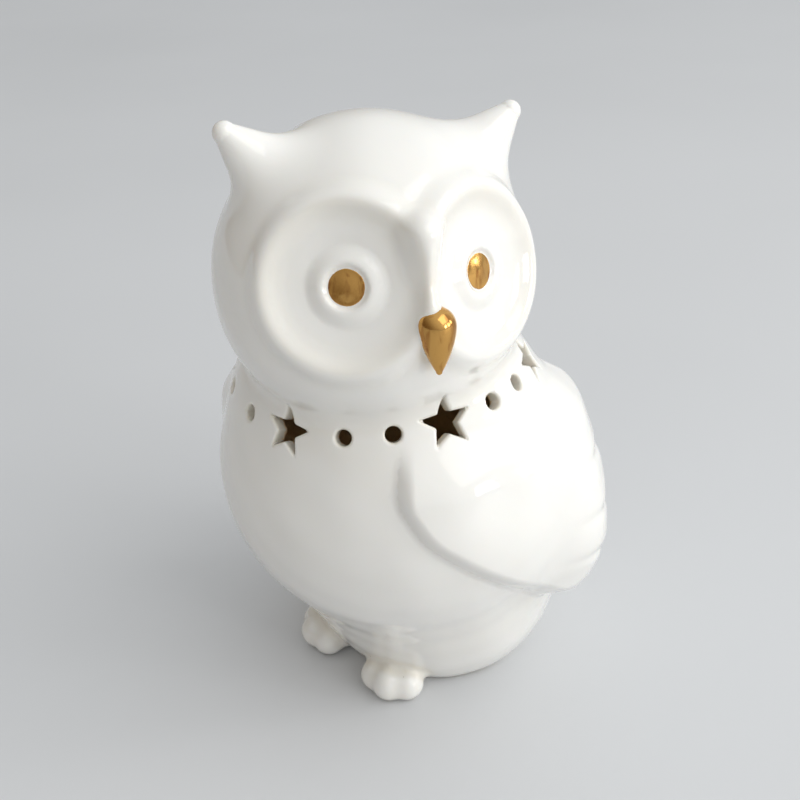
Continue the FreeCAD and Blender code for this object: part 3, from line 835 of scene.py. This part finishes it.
class OWL_OT_gilding(Operator):
    """Paints the gold beak and the two gold pupils"""

    bl_idname = "owl.gilding"
    bl_label = "Gold beak and pupils"

    coat = 0.07
    grip = 0.35
    cell = 0.15
    triangles = 24000
    over = 0.10
    beak_middle = (0, 36.0, -4.0)
    beak_reach = 11.0
    pupil_reach = 6.0

    def execute(self, context):
        clay = Clay(context.scene.owl_form)
        gold = gold_finish(context.scene.owl_finish)
        beak = self.patch("beak_gold", clay, lambda p, q: clay.beak(q) - self.over,
                          self.beak_middle, self.beak_reach)
        self.place(beak, gold, "beak_gilding")
        for side, name in ((-1, "right"), (1, "left")):
            turn, lift = math.radians(EYE_TURN) * side, math.radians(EYE_LIFT)
            axis = np.array((math.sin(turn) * math.cos(lift), math.cos(turn) * math.cos(lift),
                             math.sin(lift)))

            def mask(p, q, which=(side + 1) // 2):
                along, away = clay.eye_places(q)[which]
                edge = 0.03 * np.sin(q[:, 2] * 1.3 + which) + 0.02 * np.sin(q[:, 0] * 1.9 + 2 * which)
                return np.maximum(away - clay.pupil + 0.05 + edge, 25.0 - along)

            pupil = self.patch("pupil_gold_" + name, clay, mask, axis * EYE_DEPTH, self.pupil_reach)
            self.place(pupil, gold, "pupil_gilding_" + name)
        return {"FINISHED"}

    def patch(self, name, clay, mask, middle, reach):
        """A thin closed film of gold over the skin, where the mask is negative."""
        centre = HEAD_AXES @ np.array(middle, np.float32) + np.array(HEAD) + NECK

        def film(points):
            p = points - NECK
            skin = clay.outside(p)
            edge = mask(p, clay.to_head(p))
            sheet = soft_max(skin - self.coat, -(skin + self.grip), 0.04)
            return soft_max(sheet, edge, 0.12)

        low, high = centre - reach, centre + reach
        return field_mesh(name, film, low, high, self.cell, self.triangles)

    def place(self, item, gold, node):
        item.data.materials.append(gold)
        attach(item, "owl")
        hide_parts(node)


# ---- the battery lamp's finishes -----------------------------------------------------
def plastic_finish(name, colour, roughness, grain=0.12, clear=0.0):
    """Moulded plastic: fine spark texture, flow marks and a slightly uneven gloss."""
    f = Finish(name, roughness, ior=1.49)
    flow = f.noise(70, 3.0, 0.8, f.stretched((1.0, 1.0, 2.5)))
    f.colour(f.blend(f.span(flow, 0.35, 0.65), rgba(colour, 0.94), rgba(colour, 1.03)))
    f.roughness(f.span(f.noise(240, 2.0), 0.3, 0.7, roughness * 0.8, min(1.0, roughness * 1.3)))
    f.bumps((f.noise(2600, 2.0), grain, 0.0001), (f.noise(120, 2.0), grain * 0.4, 0.0004))
    if clear:
        f.shader.inputs["Transmission Weight"].default_value = clear
        f.shader.inputs["Subsurface Weight"].default_value = 0.3
        f.shader.inputs["Subsurface Scale"].default_value = 0.003
    return f.material


def metal_finish(name, colour, roughness, stretch=(1.0, 1.0, 12.0)):
    """Plated steel: drawn scratches, faint staining and soft wear."""
    f = Finish(name, roughness, metallic=1.0)
    drawn = f.noise(900, 3.0, 0.0, f.stretched(stretch))
    stain = f.span(f.noise(110, 4.0), 0.45, 0.7)
    f.colour(f.blend(stain, rgba(colour), rgba(colour, 0.72)))
    f.roughness(f.span(drawn, 0.3, 0.7, roughness * 0.7, min(1.0, roughness * 1.5)))
    f.bumps((drawn, 0.12, 0.0001), (f.noise(1500, 2.0), 0.06, 0.0001))
    return f.material


class OWL_OT_lamp(Operator):
    """Finishes the little battery lamp that stands inside the owl"""

    bl_idname = "owl.lamp"
    bl_label = "Battery lamp"

    def execute(self, context):
        look = context.scene.lamp_finish
        finishes = {
            plastic_finish("lamp_body_plastic", look.body, 0.42): ("lamp_base", "lamp_cup", "battery_door"),
            plastic_finish("flame_plastic", look.flame, 0.30, 0.06, 0.35): ("flame_lens",),
            plastic_finish("diode_resin", look.epoxy, 0.08, 0.02, 0.7): ("led_lamp",),
            plastic_finish("switch_plastic", look.switch, 0.48): ("switch_body", "switch_slider"),
            plastic_finish("grip_silicone", look.rubber, 0.62, 0.22): ("grip_ring",),
            metal_finish("lead_tin", look.steel, 0.30): ("led_leads",),
            metal_finish("cell_steel", look.steel, 0.22, (1.0, 14.0, 1.0)): ("battery_cell",),
            metal_finish("spring_steel", look.steel, 0.26): ("contact_spring", "contact_clip"),
            metal_finish("pin_steel", look.steel, 0.30, (14.0, 1.0, 14.0)): ("door_hinge_pin", "door_screw"),
        }
        for material, nodes in finishes.items():
            for node in nodes:
                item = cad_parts[node]
                item.data.materials.clear()
                item.data.materials.append(material)
        return {"FINISHED"}


# ---- the studio --------------------------------------------------------------------
def aim(item, target):
    item.rotation_euler = (Vector(target) - item.location).to_track_quat("-Z", "Y").to_euler()


def around(turn, lift, distance, middle):
    """A place seen from the middle at a bearing and a height, both in degrees."""
    a, e = math.radians(turn), math.radians(lift)
    return Vector(middle) + distance * Vector((math.sin(a) * math.cos(e), -math.cos(a) * math.cos(e),
                                               math.sin(e)))


class OWL_OT_stage(Operator):
    """Lays the floor and sets the light and the camera"""

    bl_idname = "owl.stage"
    bl_label = "Studio"

    view = (49.0, 29.3, -3.4)
    aim_at = (-0.0062, 0.0033, 0.0682)
    middle = (0.0, 0.0, 0.07)
    windows = ((98, 11, 0.22, 0.30), (120, 11, 0.22, 0.30), (141, 13, 0.20, 0.30))
    window_distance = 1.25
    window_colour = (1.0, 0.985, 0.96)
    softbox = (108, 48, 1.1, 0.9)
    softbox_distance = 1.2
    softbox_colour = (1.0, 0.99, 0.97)
    towards_light = (0.50, 0.50, 0.70)
    sky_colour = (0.95, 0.98, 1.0, 1.0)

    def execute(self, context):
        look = context.scene.stage_look
        self.lay_floor(look)
        self.light(look)
        self.set_camera(context.scene, look)
        return {"FINISHED"}

    def lay_floor(self, look):
        """One flat sheet of pale paper, far wider than the owl."""
        size, steps = 3.0, 48
        spots = np.linspace(-size, size, steps)
        points = [(x, y, 0.0) for y in spots for x in spots]
        faces = [(i * steps + j, i * steps + j + 1, (i + 1) * steps + j + 1, (i + 1) * steps + j)
                 for i in range(steps - 1) for j in range(steps - 1)]
        mesh = bpy.data.meshes.new("floor")
        mesh.from_pydata(points, [], faces)
        mesh.update()
        item = bpy.data.objects.new("floor", mesh)
        bpy.context.scene.collection.objects.link(item)
        f = Finish("floor_paper", 0.62)
        f.colour(f.blend(f.span(f.noise(3, 3.0), 0.3, 0.7), rgba(look.floor, 0.97), rgba(look.floor, 1.02)))
        f.bumps((f.noise(900, 3.0), 0.08, 0.0002), (f.noise(60, 2.0), 0.05, 0.0004))
        mesh.materials.append(f.material)

    def light(self, look):
        for number, (turn, lift, wide, tall) in enumerate(self.windows):
            place = around(turn, lift, self.window_distance, self.middle)
            self.pane("window_%d" % number, place, wide, tall, look.window_power, self.window_colour)
        turn, lift, wide, tall = self.softbox
        place = around(turn, lift, self.softbox_distance, self.middle)
        self.pane("softbox", place, wide, tall, look.overhead_power, self.softbox_colour)
        self.fill_room(look)

    def fill_room(self, look):
        """A room that is bright above and on the windows' side, and dim and warm opposite."""
        world = bpy.data.worlds.new("room")
        world.use_nodes = True
        nodes, links = world.node_tree.nodes, world.node_tree.links
        facing = nodes.new("ShaderNodeVectorMath")
        facing.operation = "DOT_PRODUCT"
        facing.inputs[1].default_value = self.towards_light
        links.new(nodes.new("ShaderNodeTexCoord").outputs["Generated"], facing.inputs[0])
        ramp = nodes.new("ShaderNodeMapRange")
        ramp.interpolation_type = "SMOOTHSTEP"
        ramp.inputs["From Min"].default_value = -0.7
        ramp.inputs["From Max"].default_value = 0.8
        links.new(facing.outputs["Value"], ramp.inputs["Value"])
        mix = nodes.new("ShaderNodeMix")
        mix.data_type = "RGBA"
        mix.inputs[6].default_value = rgba(look.dim)
        mix.inputs[7].default_value = self.sky_colour
        links.new(ramp.outputs["Result"], mix.inputs[0])
        back = nodes["Background"]
        links.new(mix.outputs[2], back.inputs["Color"])
        back.inputs["Strength"].default_value = look.sky
        bpy.context.scene.world = world
        bpy.context.scene.view_settings.view_transform = "Standard"

    def pane(self, name, place, wide, tall, power, colour):
        data = bpy.data.lights.new(name, "AREA")
        data.shape = "RECTANGLE"
        data.size, data.size_y = wide, tall
        data.energy = power
        data.color = colour
        item = bpy.data.objects.new(name, data)
        item.location = place
        bpy.context.scene.collection.objects.link(item)
        aim(item, self.middle)

    def set_camera(self, scene, look):
        turn, lift, roll = self.view
        data = bpy.data.cameras.new("camera")
        data.lens = look.lens
        data.sensor_width = 36.0
        data.clip_start = 0.01
        item = bpy.data.objects.new("camera", data)
        scene.collection.objects.link(item)
        place = around(turn, lift, look.distance, self.aim_at)
        facing = (Vector(self.aim_at) - place).to_track_quat("-Z", "Y").to_matrix().to_4x4()
        item.matrix_world = Matrix.Translation(place) @ facing @ Matrix.Rotation(math.radians(roll), 4, "Z")
        scene.camera = item


class OWL_PT_sidebar(Panel):
    """Lists the owl's pieces and their settings"""

    bl_idname = "OWL_PT_sidebar"
    bl_label = "Ceramic owl"
    bl_space_type = "VIEW_3D"
    bl_region_type = "UI"
    bl_category = "Owl"

    def draw(self, context):
        for group, operators in PIECES:
            box = self.layout.box()
            settings = getattr(context.scene, group)
            for name in settings.bl_rna.properties.keys():
                if name not in ("name", "rna_type"):
                    box.prop(settings, name)
            for operator in operators:
                box.operator(operator.bl_idname)


PIECES = (
    ("owl_form", (OWL_OT_ceramic,)),
    ("owl_finish", (OWL_OT_gilding,)),
    ("lamp_finish", (OWL_OT_lamp,)),
    ("stage_look", (OWL_OT_stage,)),
)
SETTINGS = (("owl_form", OwlForm), ("owl_finish", OwlFinish), ("lamp_finish", LampFinish),
            ("stage_look", StageLook))
CLASSES = (OwlForm, OwlFinish, LampFinish, StageLook, OWL_OT_ceramic, OWL_OT_gilding, OWL_OT_lamp,
           OWL_OT_stage, OWL_PT_sidebar)


def register():
    for item in CLASSES:
        bpy.utils.register_class(item)
    for name, group in SETTINGS:
        setattr(bpy.types.Scene, name, PointerProperty(type=group))


def unregister():
    for name, _ in SETTINGS:
        delattr(bpy.types.Scene, name)
    for item in reversed(CLASSES):
        bpy.utils.unregister_class(item)


def main():
    register()
    bpy.ops.owl.stage()
    bpy.ops.owl.ceramic()
    bpy.ops.owl.gilding()
    bpy.ops.owl.lamp()


if __name__ == "__main__":
    main()
